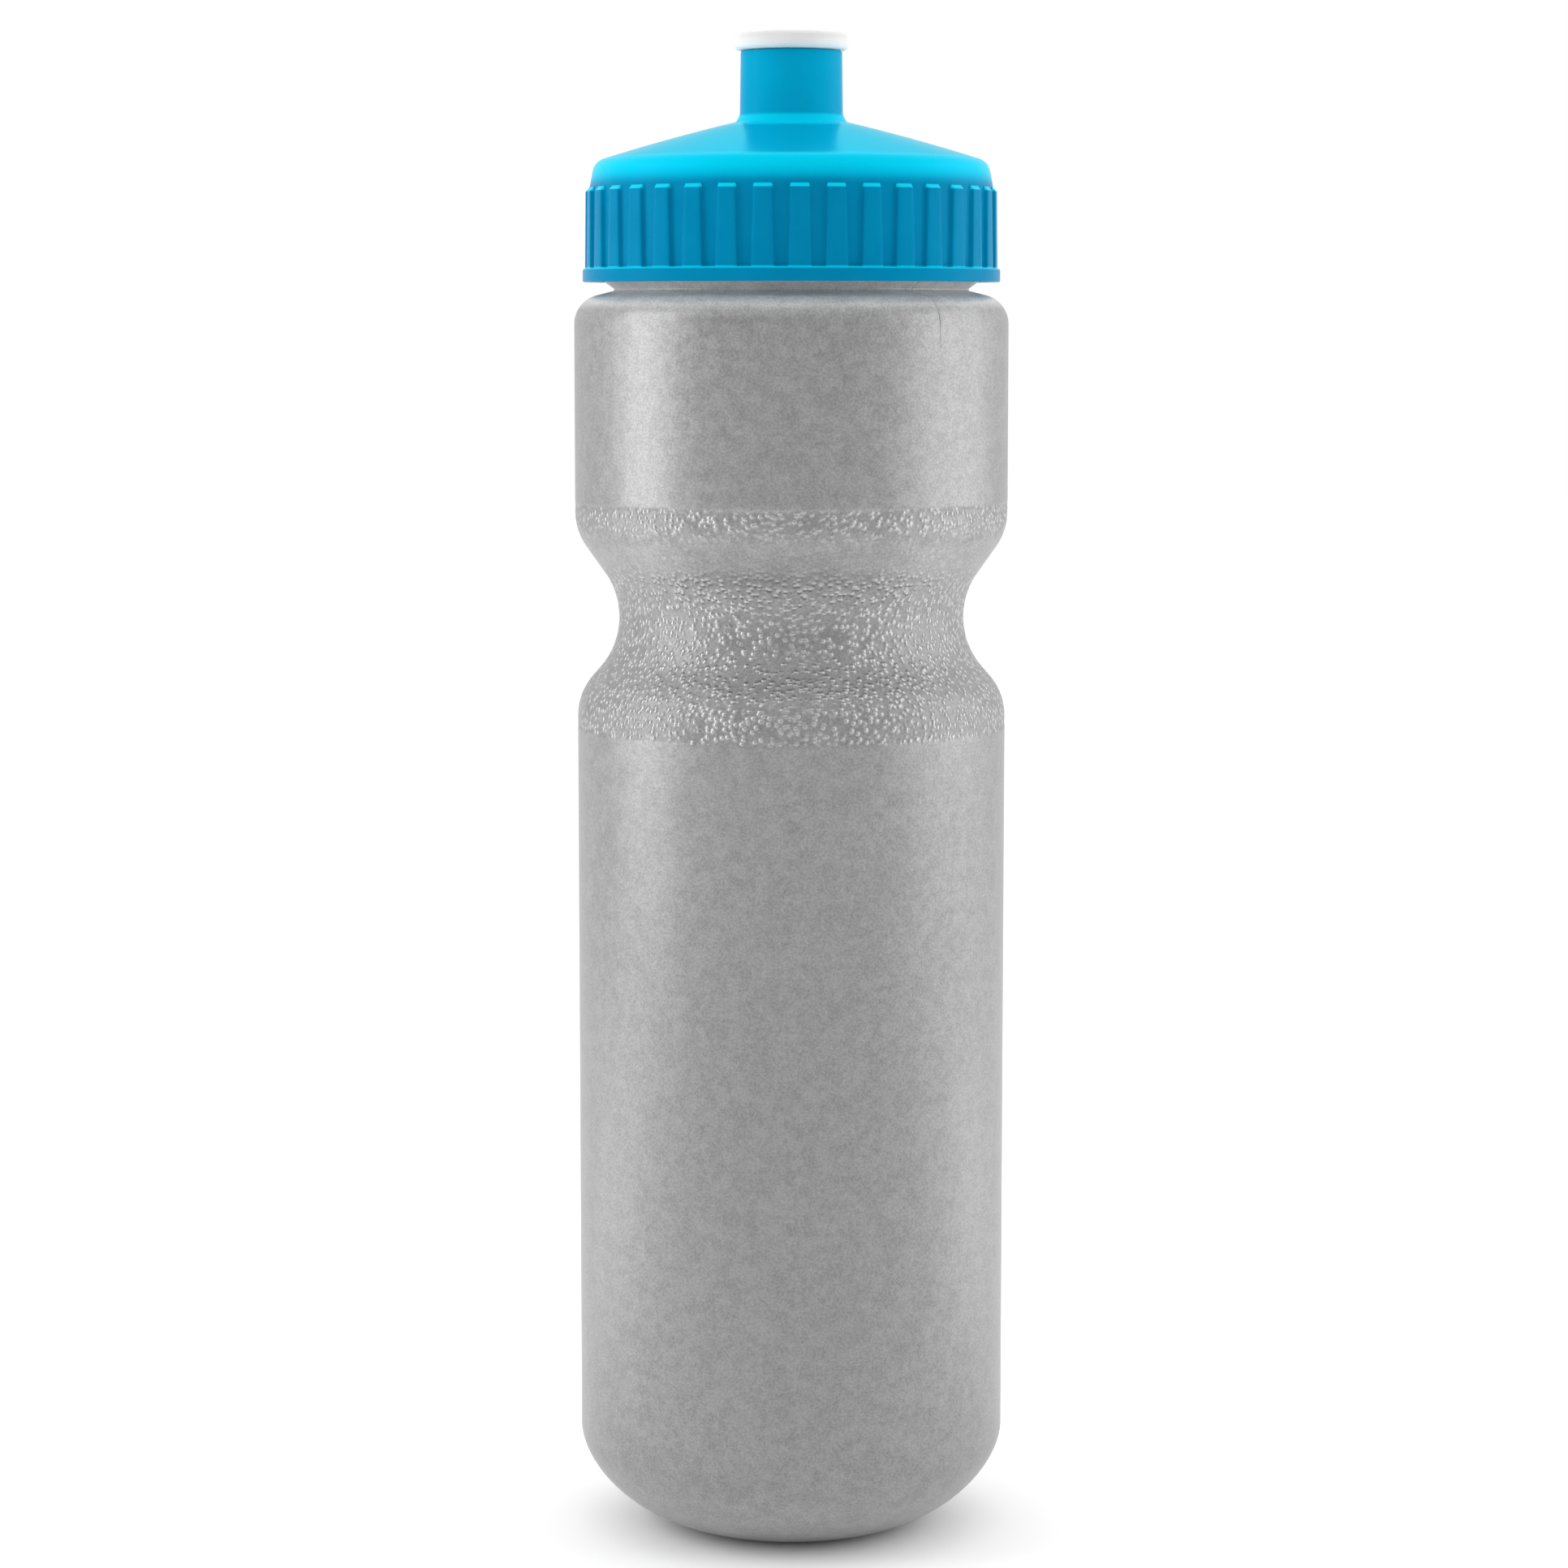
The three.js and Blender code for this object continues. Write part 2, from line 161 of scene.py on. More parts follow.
# Pebbled grip band; the pebbles are worn nearly flat in the calm stretch
BAND_TOP = 175.2 * MM
BAND_FOOT = 137.3 * MM
BAND_FADE = 0.4 * MM
CALM_FOOT, CALM_TOP = 163.8 * MM, 171.2 * MM
CALM_FADE = 2.2 * MM
CALM_WEAR = 0.85
PEBBLE_SIZE = 0.95 * MM
PEBBLE_SUNK = 0.05 * MM
PEBBLE_RELIEF = 0.18 * MM
PEBBLE_CROWN, PEBBLE_RIM = 0.1, 0.62  # distances from a pebble's middle, in pebble sizes
PEBBLE_SMOOTHNESS = 0.25

# Mould's parting line
PARTING_ANGLE = math.radians(-48.5)
SEAM_WIDTH = (0.05 * MM, 0.3 * MM)
SEAM_RISE = (SHOULDER_EDGE - 9 * MM, SHOULDER_EDGE)
SEAM_RELIEF = 0.15 * MM

# Fineness of the meshes
BODY_SIDES = 160
BAND_SIDES = 640
FINE_FOOT, FINE_TOP = BAND_FOOT - 1.2 * MM, BAND_TOP + 0.8 * MM
FINE_ROW_STEP = 0.38 * MM
PLAIN_ROW_STEP = 8 * MM
ROW_CHANGE = 2 * MM  # between the fine rows and the first plain row
THREAD_STEP = 0.32 * MM
WEDGE_COLUMNS = 6
PIN_SIDES = 48
VALVE_SIDES = 96
ARC_STEPS = 12
WAIST_STEPS = 24
SHOULDER_STEPS = 14
FILLET_STEPS = 5
MERGE_DISTANCE = 0.003 * MM
ON_WALL = 0.01 * MM

NOISE_EDGES = (0.3, 0.7)  # where nearly all of the noise lies

# Silver plastic: colour, then how much lighter or darker each zone is painted (painted light and painted
# shade) and how much less metallic each zone is
BODY_METALLIC = 0.62
BODY_ROUGHNESS = 0.39
BODY_DARK = (0.235, 0.235, 0.235)
BODY_LIGHT = (0.385, 0.385, 0.385)
CLOUD_SIZE = 2.3 * MM
GRAIN_SIZE = 0.34 * MM
GRAIN_RELIEF = 0.014 * MM
FLAKE_EDGES = (0.40, 0.60)  # the noise that is taken for no flake, and for a full one
GRAIN_EDGES = (0.35, 0.65)
# The flake and grain tones are the plastic's own mottle; the dome tone paints glints on the pebbles' domes
FLAKE_TONE, GRAIN_TONE, DOME_GLINT_TONE = 0.35, 0.45, 0.8
FLAKE_ROUGHENING = 0.05
LOWER_WALL = (60 * MM, BAND_TOP)
NECK_RISE = (NECK_FOOT - 3.6 * MM, NECK_FOOT - 0.8 * MM)
UNDER_LID = (NECK_FOOT - 2.4 * MM, NECK_FOOT + 0.6 * MM, 0.8 * MM)
# Painted shade on the lower wall and the grip; painted light at the neck, the base corner, under the lid and
# on the pebbles' domes
LOWER_PAINTED_SHADE, LOWER_LESS_METALLIC = 0.15, 0.36
NECK_PAINTED_LIGHT, NECK_LESS_METALLIC = 0.55, 0.45
CORNER_PAINTED_LIGHT = 0.42
UNDER_LID_PAINTED_LIGHT = 0.35
# The grip's darkening paints shade in the hollows between the pebbles; the domes' lightening paints glints
# on them
GRIP_PAINTED_SHADE, GRIP_ROUGHENING = 0.1, 0.06
DOME_PAINTED_GLINT, DOME_METALLIC, DOME_POLISH = 0.2, 0.25, 0.27

# Cyan plastic: colours (the dye, a lighter one for random clouds and for painted light above the ribs, and
# one for painted highlights), and the heights of its zones as low, high and the fade at each edge
LID_DARK = (0.001, 0.192, 0.365)
LID_CLOUD_AND_TOPLIT = (0.001, 0.34, 0.55)
LID_PAINTED_HIGHLIGHT = (0.001, 0.56, 0.78)
LID_ROUGHNESS = 0.27
LID_CLOUD_SIZE, LID_CLOUD_TONE, LID_CLOUD_ROUGHENING = 6 * MM, 0.1, 0.08
LID_GRAIN_SIZE, LID_GRAIN_RELIEF = 0.35 * MM, 0.004 * MM
ABOVE_RIBS = (RIB_TOP - 0.3 * MM, RIB_TOP + 2 * MM)
SHOULDER_RISE = (RIB_TOP + 0.2 * MM, RIB_TOP + 3.4 * MM)
SHOULDER_FALL = (CONE_EDGE, CONE_EDGE + 1 * MM)
SHOULDER_HIGHLIGHT_SHARE = 0.95
CONE_ZONE = (CONE_EDGE + 0.4 * MM, SPOUT_FOOT - 0.6 * MM, 0.4 * MM)
CONE_HIGHLIGHT_SHARE = 0.6
CONE_METALLIC = 0.48
CONE_POLISH = 0.06
RIB_CAP_ZONE = (RIB_TOP - RIB_CHAMFER, RIB_TOP, 0.1 * MM)
RIB_CAP_RADIUS = (SKIRT_RADIUS_TOP + 0.1 * MM, SKIRT_RADIUS_TOP + 0.2 * MM)
FLARE_ZONE = (SPOUT_FOOT - 0.7 * MM, SPOUT_FOOT + 1.1 * MM, 0.35 * MM)
BEAD_EDGE_ZONE = (SKIRT_BEAD_TOP - 0.2 * MM, SKIRT_BEAD_TOP + 0.15 * MM, 0.12 * MM)

# White plastic, rubber and floor
# The crown's colour is painted shade, darker where the light from above falls hardest
VALVE_FOOT_COLOUR = (0.76, 0.73, 0.71)
VALVE_CROWN_SHADED_COLOUR = (0.55, 0.545, 0.54)
VALVE_CROWN = (FLANGE_FOOT + 0.4 * MM, VALVE_TOP - 0.4 * MM)
VALVE_DEPTH = 4 * MM  # how far light spreads inside it
VALVE_ROUGHNESS = 0.45
VALVE_CLOUD_SIZE, VALVE_CLOUD_TONE, VALVE_CLOUD_ROUGHENING = 3 * MM, 0.1, 0.12
VALVE_GRAIN_SIZE, VALVE_GRAIN_RELIEF = 0.3 * MM, 0.006 * MM
RUBBER_DARK = (0.50, 0.50, 0.48)
RUBBER_LIGHT = (0.62, 0.62, 0.60)
RUBBER_ROUGHNESS = 0.58
RUBBER_GRAIN_SIZE, RUBBER_GRAIN_RELIEF, RUBBER_ROUGHENING = 0.6 * MM, 0.02 * MM, 0.2
FLOOR_DARK = (0.92, 0.92, 0.92)
FLOOR_LIGHT = (0.94, 0.94, 0.94)
FLOOR_PATCH_SIZE = 60 * MM

# Studio, in metres and watts; a bearing is in degrees from the camera's side, towards +X
FLOOR_SIZE = 8.0
CAMERA_PLACE = (-1.24 * MM, -716.9 * MM, 207.25 * MM)
CAMERA_TILT = math.radians(6.373)
FOCAL_LENGTH = 97.27
SENSOR_WIDTH = 36.0
FRONT_GLOW = 0.56
BACK_GLOW = 0.95
TOP_GLOW = 0.65
TO_THE_BACK = (-0.2, 0.75)
TO_THE_TOP = (0.2, 0.9)
SIDE_LIGHT = {"height": 0.31, "tall": 0.62}
FOOT_LIGHT = {"distance": 0.16, "height": 0.035, "width": 0.10, "tall": 0.06, "power": 0.022}


# ---- Outlines: lists of (radius, height)

def arc(centre, radius, start, end, steps):
    """Points on an arc about (radius, height), angles from the outward direction towards +Z."""
    angles = [start + (end - start) * i / steps for i in range(steps + 1)]
    return [(centre[0] + radius * math.cos(a), centre[1] + radius * math.sin(a)) for a in angles]


def rounded(before, corner, after, radius, steps):
    """Points that round off a corner between the directions to two other points."""
    corner = Vector(corner)
    a = (Vector(before) - corner).normalized()
    b = (Vector(after) - corner).normalized()
    half = a.angle(b) / 2
    middle = (a + b).normalized() * (radius / math.sin(half))
    first = a * (radius / math.tan(half)) - middle
    last = b * (radius / math.tan(half)) - middle
    start = math.atan2(first.y, first.x)
    turn = (math.atan2(last.y, last.x) - start + math.pi) % TAU - math.pi
    return arc(corner + middle, radius, start, start + turn, steps)


def filleted(corners):
    """An outline from (radius, height, fillet) corners, each rounded by its fillet where that isn't 0."""
    points = []
    for i, (r, z, fillet) in enumerate(corners):
        if fillet:
            before, after = corners[i - 1], corners[(i + 1) % len(corners)]
            points += rounded(before[:2], (r, z), after[:2], fillet, FILLET_STEPS)
        else:
            points.append((r, z))
    return points


def spaced(points, step):
    """The same outline with extra points, so that no stretch is longer than a step."""
    out = [points[0]]
    for a, b in zip(points, points[1:]):
        count = max(1, math.ceil(math.dist(a, b) / step))
        for i in range(1, count + 1):
            out.append((a[0] + (b[0] - a[0]) * i / count, a[1] + (b[1] - a[1]) * i / count))
    return out


def evened(points, step):
    """The same outline with its points the same distance apart."""
    gaps = [math.dist(a, b) for a, b in zip(points, points[1:])]
    count = round(sum(gaps) / step)
    out, passed, i = [points[0]], 0, 0
    for k in range(1, count):
        target = sum(gaps) * k / count
        while passed + gaps[i] < target:
            passed += gaps[i]
            i += 1
        share = (target - passed) / gaps[i]
        a, b = points[i], points[i + 1]
        out.append((a[0] + (b[0] - a[0]) * share, a[1] + (b[1] - a[1]) * share))
    return out + [points[-1]]


def inset(points, distance):
    """The outline moved sideways, to the left of its direction of travel; the axis stays the axis."""
    out = []
    for i, (r, z) in enumerate(points):
        before, after = points[max(i - 1, 0)], points[min(i + 1, len(points) - 1)]
        along = (Vector(after) - Vector(before)).normalized()
        out.append((r - along.y * distance if r else 0, z + along.x * distance))
    return out


def base_outline():
    """The recess in the base, the ring that the bottle stands on, and the corner up to the wall."""
    ring = STAND_RADIUS - STAND_WIDTH
    recess = []
    for u in (0, .15, .3, .45, .6, .75, .88, .96):
        recess.append((ring * u, BODY_FOOT + RECESS_DEPTH * (1 - u ** 3) ** 2))
    corner = []
    for i in range(BASE_CORNER_STEPS + 1):
        angle = i / BASE_CORNER_STEPS * math.pi / 2
        across = (LOWER_RADIUS - STAND_RADIUS) * math.sin(angle) ** (2 / BASE_CORNER_POWER)
        rise = BASE_CORNER_HEIGHT * (1 - math.cos(angle) ** (2 / BASE_CORNER_POWER))
        corner.append((STAND_RADIUS + across, BODY_FOOT + rise))
    return recess + [(ring, BODY_FOOT)] + corner


def waist_outline():
    """The waist from the lower wall, through the hollow, to the upper wall."""
    throat = (UPPER_RADIUS - WAIST_DEPTH + WAIST_BLEND, WAIST_HEIGHT)
    hollow = arc(throat, WAIST_BLEND, math.pi + WAIST_LOWER_SLOPE, math.pi - WAIST_UPPER_SLOPE, WAIST_STEPS)
    low, high = hollow[0], hollow[-1]
    low_edge = (LOWER_RADIUS, low[1] - (LOWER_RADIUS - low[0]) / math.tan(WAIST_LOWER_SLOPE))
    high_edge = (UPPER_RADIUS, high[1] + (UPPER_RADIUS - high[0]) / math.tan(WAIST_UPPER_SLOPE))
    lower = rounded((LOWER_RADIUS, 0), low_edge, low, WAIST_EDGE_BLEND, ARC_STEPS)
    upper = rounded(high, high_edge, (UPPER_RADIUS, LIP), WAIST_EDGE_BLEND, ARC_STEPS)
    return lower + hollow + upper


def shoulder_outline():
    """From the upper wall, over the rounded edge, down in to the groove under the lid."""
    edge = (UPPER_RADIUS, SHOULDER_EDGE)
    foot = (GROOVE_RADIUS, NECK_FOOT)
    return rounded((UPPER_RADIUS, 0), edge, foot, SHOULDER_BLEND, SHOULDER_STEPS) + [foot]


def neck_outline():
    """From the groove over the bead, up the threaded neck and over the lip to the bore."""
    bead = NECK_FOOT + BEAD_FOOT + BEAD_FLARE
    bead_radius = LID_BORE - BEAD_PLAY
    return filleted([
        (GROOVE_RADIUS, NECK_FOOT + BEAD_FOOT, 0),
        (bead_radius, bead, 0.3 * MM),
        (bead_radius, bead + BEAD_HEIGHT, 0.3 * MM),
        (NECK_RADIUS, bead + BEAD_HEIGHT + bead_radius - NECK_RADIUS, 0.5 * MM),
        (NECK_RADIUS, LIP, 0.5 * MM),
        (NECK_BORE, LIP, 0.4 * MM),
        (NECK_BORE, NECK_FOOT, 0),
    ])


def rib_valley_outline():
    """The skirt between the ribs, from the top of the bottom bead to just above the ribs."""
    above_bead = (0, .12, .3, .6, 1, 2, 4, 6, 8, 10, 12)
    below_top = (1.1, .9, .78, .66, .5, .25, .1, -.05, -.25)
    heights = [SKIRT_BEAD_TOP + mark * MM for mark in above_bead]
    heights += [RIB_TOP - mark * MM for mark in below_top]
    slope = (SKIRT_RADIUS_TOP - SKIRT_RADIUS_BOTTOM) / (RIB_TOP - SKIRT_BEAD_TOP)
    return [(SKIRT_RADIUS_BOTTOM + (z - SKIRT_BEAD_TOP) * slope, z) for z in heights]


def cone_outline():
    """From the cone's edge up to the foot of the spout, slightly bulged."""
    points = []
    for i in range(CONE_STEPS + 1):
        u = i / CONE_STEPS
        r = CONE_EDGE_RADIUS + (SPOUT_FOOT_RADIUS - CONE_EDGE_RADIUS) * u
        straight = CONE_EDGE + (CONE_EDGE_RADIUS - r) * math.tan(CONE_SLOPE)
        points.append((r, straight + 4 * CONE_BULGE * u * (1 - u)))
    return points


def lid_outlines():
    """The lid's closed outline in two runs: the ribbed stretch, and all the rest of the way round."""
    ribbed = rib_valley_outline()
    cone = cone_outline()
    shoulder = rounded(ribbed[-1], cone[0], cone[1], LID_SHOULDER_BLEND, ARC_STEPS)
    cone = [p for p in cone if p[0] < shoulder[-1][0] - 0.3 * MM]
    flare_top = SPOUT_FOOT + SPOUT_FLARE_HEIGHT
    flare = []
    for u in (.12, .3, .5, .7, .85, 1):
        spread = SPOUT_FLARE * (1 - u) ** SPOUT_FLARE_POWER
        flare.append((SPOUT_RADIUS + SPOUT_DRAFT + spread, SPOUT_FOOT + SPOUT_FLARE_HEIGHT * u))
    catch_foot = SPOUT_TOP - CATCH_HEIGHT
    cone_foot = SPOUT_FOOT - CONE_WALL
    ledge = LID_BORE - DECK_WIDTH
    ledge_top = CONE_EDGE + (CONE_EDGE_RADIUS - ledge) * math.tan(CONE_SLOPE) - CONE_WALL
    rest = filleted([
        (SPOUT_RADIUS + SPOUT_DRAFT, flare_top, 0),
        (SPOUT_RADIUS, SPOUT_TOP, 0.35 * MM),
        (CATCH_RADIUS, SPOUT_TOP, 0.25 * MM),
        (CATCH_RADIUS, catch_foot, 0.2 * MM),
        (SPOUT_BORE, catch_foot - (SPOUT_BORE - CATCH_RADIUS), 0.2 * MM),
        (SPOUT_BORE, cone_foot, 0.5 * MM),
        (ledge, ledge_top, 1.2 * MM),
        (ledge, DECK, 0.4 * MM),
        (LID_BORE, DECK, 0.3 * MM),
        (LID_BORE, LID_FOOT, 0.3 * MM),
        (SKIRT_BEAD_RADIUS, LID_FOOT, 0.25 * MM),
        (SKIRT_BEAD_RADIUS, SKIRT_BEAD_TOP, 0.5 * MM),
        (ribbed[0][0], SKIRT_BEAD_TOP, 0),
    ])[1:-1]
    return ribbed, spaced(shoulder + cone, LID_ROW_STEP) + flare + threaded_rows(rest, LID_BORE)


def threaded_rows(outline, wall):
    """The same outline with rows close enough together, on one wall, to carry the thread."""
    for i, (a, b) in enumerate(zip(outline, outline[1:])):
        if max(abs(a[0] - wall), abs(b[0] - wall)) < ON_WALL and math.dist(a, b) > THREAD_STEP:
            return outline[:i] + spaced([a, b], THREAD_STEP) + outline[i + 2:]
    return outline


def valve_outline():
    """The valve's closed outline: snap bead, barrel, rounded flange, drinking hole and bore."""
    widest = FLANGE_FOOT + 0.5 * (VALVE_TOP - FLANGE_FOOT)
    bead_top = VALVE_END + SNAP_BEAD_HEIGHT
    return filleted([
        (BARREL_BORE, VALVE_END, 0.25 * MM),
        (BARREL_RADIUS, VALVE_END, 0.2 * MM),
        (SNAP_BEAD_RADIUS, VALVE_END + 0.5 * SNAP_BEAD_HEIGHT, 0.25 * MM),
        (SNAP_BEAD_RADIUS, bead_top, 0.15 * MM),
        (BARREL_RADIUS, bead_top, 0.15 * MM),
        (BARREL_RADIUS, FLANGE_FOOT, 0.3 * MM),
        (FLANGE_FOOT_RADIUS + 0.5 * MM, FLANGE_FOOT, 0.9 * MM),
        (FLANGE_RADIUS, widest, 0.5 * MM),
        (FLANGE_FOOT_RADIUS + 0.2 * MM, VALVE_TOP - 0.3 * MM, 0.8 * MM),
        (FLANGE_FOOT_RADIUS - 3 * MM, VALVE_TOP, 2 * MM),
        (DRINK_HOLE_RADIUS, VALVE_TOP, 0.4 * MM),
        (DRINK_HOLE_RADIUS, VALVE_TOP - VALVE_TOP_WALL, 0.3 * MM),
        (BARREL_BORE, VALVE_TOP - VALVE_TOP_WALL, 0.6 * MM),
    ])


# ---- Meshes

def mesh_object(name, vertices, faces):
    """A new object with its mesh, in the scene."""
    mesh = bpy.data.meshes.new(name)
    mesh.from_pydata(vertices, [], faces)
    made = bpy.data.objects.new(name, mesh)
    bpy.context.scene.collection.objects.link(made)
    return made


def bridged(a, b):
    """Faces between two rows of (place along the row, vertex) pairs, with any counts."""
    faces = []
    i = j = 0
    while i < len(a) - 1 or j < len(b) - 1:
        next_a = a[i + 1][0] if i < len(a) - 1 else math.inf
        next_b = b[j + 1][0] if j < len(b) - 1 else math.inf
        if abs(next_a - next_b) < ROUNDING:
            faces.append((a[i][1], a[i + 1][1], b[j + 1][1], b[j][1]))
            i += 1
            j += 1
        elif next_a < next_b:
            faces.append((a[i][1], a[i + 1][1], b[j][1]))
            i += 1
        else:
            faces.append((a[i][1], b[j + 1][1], b[j][1]))
            j += 1
    return faces


def turned(name, outline, sides, closed=False):
    """A body of revolution. sides gives each outline point's number of columns."""
    vertices, rows = [], []
    for (r, z), count in zip(outline, sides):
        first = len(vertices)
        if r < ROUNDING:
            vertices.append((0, 0, z))
            rows.append([(0, first)])
            continue
        vertices += [(r * math.cos(TAU * k / count), r * math.sin(TAU * k / count), z) for k in range(count)]
        rows.append([(k / count, first + k % count) for k in range(count + 1)])
    faces = []
    for a, b in zip(rows, rows[1:] + (rows[:1] if closed else [])):
        faces += bridged(a, b)
    return mesh_object(name, vertices, faces)


def bottle_blank():
    """The blow-moulded bottle as one closed skin, with fine rows and columns where the grip is."""
    base, waist, shoulder = base_outline(), waist_outline(), shoulder_outline()
    lower = spaced([base[-1], (LOWER_RADIUS, FINE_FOOT - ROW_CHANGE)], PLAIN_ROW_STEP)[1:]
    upper = spaced([(UPPER_RADIUS, FINE_TOP + ROW_CHANGE), shoulder[0]], PLAIN_ROW_STEP)[:-1]
    band = evened([(LOWER_RADIUS, FINE_FOOT)] + waist + [(UPPER_RADIUS, FINE_TOP)], FINE_ROW_STEP)
    neck = threaded_rows(neck_outline(), NECK_RADIUS)
    skin = base[::2] + lower[::2] + waist[::4] + upper[::2] + shoulder[:-1:3]
    inside = [p for p in inset(skin, BODY_WALL) if p[1] < NECK_FOOT - BODY_WALL][::-1]
    plain = len(base + lower)
    smooth = len(upper + shoulder + neck)
    sides = [BODY_SIDES] * (plain - 1) + [BODY_SIDES * 2] + [BAND_SIDES] * len(band)
    sides += [BODY_SIDES * 2] + [BODY_SIDES] * (smooth - 1) + [BODY_SIDES // 2] * len(inside)
    return turned("bottle_shell", base + lower + band + upper + shoulder + neck + inside, sides)


def rib_rise(z):
    """Share of a rib's height at a height on the skirt: full, then sloping to nothing at its top."""
    return max(0, min(1, (RIB_TOP - z) / RIB_CHAMFER))


def rib_section(r, z):
    """(angle from the rib's middle, share of its height) across one wedge of the skirt."""
    climb = (z - SKIRT_BEAD_TOP) / (RIB_TOP - SKIRT_BEAD_TOP)
    width = RIB_WIDTH_BOTTOM + (RIB_WIDTH_TOP - RIB_WIDTH_BOTTOM) * climb
    top = width / 2 / r
    low = top + RIB_FLANK / r
    ease = RIB_EASE / r
    half = math.pi / RIB_COUNT
    side = [(half, 0), ((half + low + ease) / 2, 0), (low + ease, 0), (low, 0.09), ((low + top) / 2, 0.5)]
    side += [(top, 0.91), (top - ease, 1), (top * 0.5, 1)]
    return [(-a, share) for a, share in side] + [(0, 1)] + side[::-1]


def lid_wedge():
    """One rib's share of the lid: a wedge of the closed outline with the rib raised on its skirt."""
    ribbed, rest = lid_outlines()
    half = math.pi / RIB_COUNT
    flat = [(half * (2 * k / WEDGE_COLUMNS - 1), 0) for k in range(WEDGE_COLUMNS + 1)]
    vertices, rows = [], []
    for i, (r, z) in enumerate(ribbed + rest):
        section = rib_section(r, z) if i < len(ribbed) else flat
        row = []
        for angle, share in section:
            radius = r + RIB_HEIGHT * rib_rise(z) * share
            row.append((angle, len(vertices)))
            vertices.append((radius * math.cos(angle), radius * math.sin(angle), z))
        rows.append(row)
    faces = []
    for a, b in zip(rows, rows[1:] + rows[:1]):
        faces += bridged(a, b)
    return mesh_object("lid_moulding", vertices, faces)


def thread_share(angle, z, start):
    """Share of the thread's height, 0 to 1, at an angle and a height on a threaded wall."""
    share = 0
    for lap in range(math.ceil(THREAD_TURNS)):
        along = (angle % TAU) / TAU + lap
        if along < THREAD_TURNS:
            off = abs(z - start - along * THREAD_PITCH) / (THREAD_WIDTH / 2)
            ends = min(1, along / THREAD_FADE, (THREAD_TURNS - along) / THREAD_FADE)
            share = max(share, ends * min(1, max(0, THREAD_FLANK * (THREAD_REACH - off))))
    return share


def cut_thread(piece, wall, rise, start):
    """Raises a thread by moving the points of one cylindrical wall in or out."""
    for vertex in piece.data.vertices:
        r = math.hypot(vertex.co.x, vertex.co.y)
        if abs(r - wall) < ON_WALL:
            share = thread_share(math.atan2(vertex.co.y, vertex.co.x), vertex.co.z, start)
            vertex.co.xy *= (r + rise * share) / r


def beam(name, start, end, width, foot, height):
    """A straight bar along +X with softened edges."""
    corners = []
    for x in (start, end):
        for y in (-width / 2, width / 2):
            corners += [(x, y, foot), (x, y, foot + height)]
    faces = [(0, 1, 3, 2), (4, 6, 7, 5), (0, 4, 5, 1), (2, 3, 7, 6), (0, 2, 6, 4), (1, 5, 7, 3)]
    bar = mesh_object(name, corners, faces)
    rounding = bar.modifiers.new("rounding", "BEVEL")
    rounding.width = SPOKE_EDGE
    rounding.segments = 2
    return bar


def closing_pin():
    """The pin in the middle of the spout, which the valve's drinking hole closes on."""
    outline = filleted([
        (0, SPOKE_FOOT, 0),
        (PIN_FOOT_RADIUS, SPOKE_FOOT, 0.4 * MM),
        (PIN_FOOT_RADIUS, SPOKE_FOOT + PIN_FOOT_HEIGHT, 0.3 * MM),
        (PIN_RADIUS, SPOKE_FOOT + PIN_FOOT_HEIGHT + PIN_FOOT_RADIUS - PIN_RADIUS, 0.5 * MM),
        (PIN_RADIUS, PIN_TIP, 0.5 * MM),
        (0, PIN_TIP, 0),
    ])
    return turned("pin", outline, [PIN_SIDES] * len(outline))


# ---- Node trees

class Wire:
    """A node's output with arithmetic: each operator adds its Math node to the same tree."""

    def __init__(self, graph, socket):
        self.graph = graph
        self.socket = socket

    def maths(self, operation, first, second):
        """A Math node on two values or wires."""
        return self.graph.add("ShaderNodeMath", {"operation": operation}, {0: first, 1: second})

    def __add__(self, other):
        return self.maths("ADD", self, other)

    def __radd__(self, other):
        return self.maths("ADD", other, self)

    def __sub__(self, other):
        return self.maths("SUBTRACT", self, other)

    def __rsub__(self, other):
        return self.maths("SUBTRACT", other, self)

    def __mul__(self, other):
        return self.maths("MULTIPLY", self, other)

    def __rmul__(self, other):
        return self.maths("MULTIPLY", other, self)

    def __truediv__(self, other):
        return self.maths("DIVIDE", self, other)

    def __gt__(self, other):
        return self.maths("GREATER_THAN", self, other)

    def __abs__(self):
        return self.maths("ABSOLUTE", self, 0)


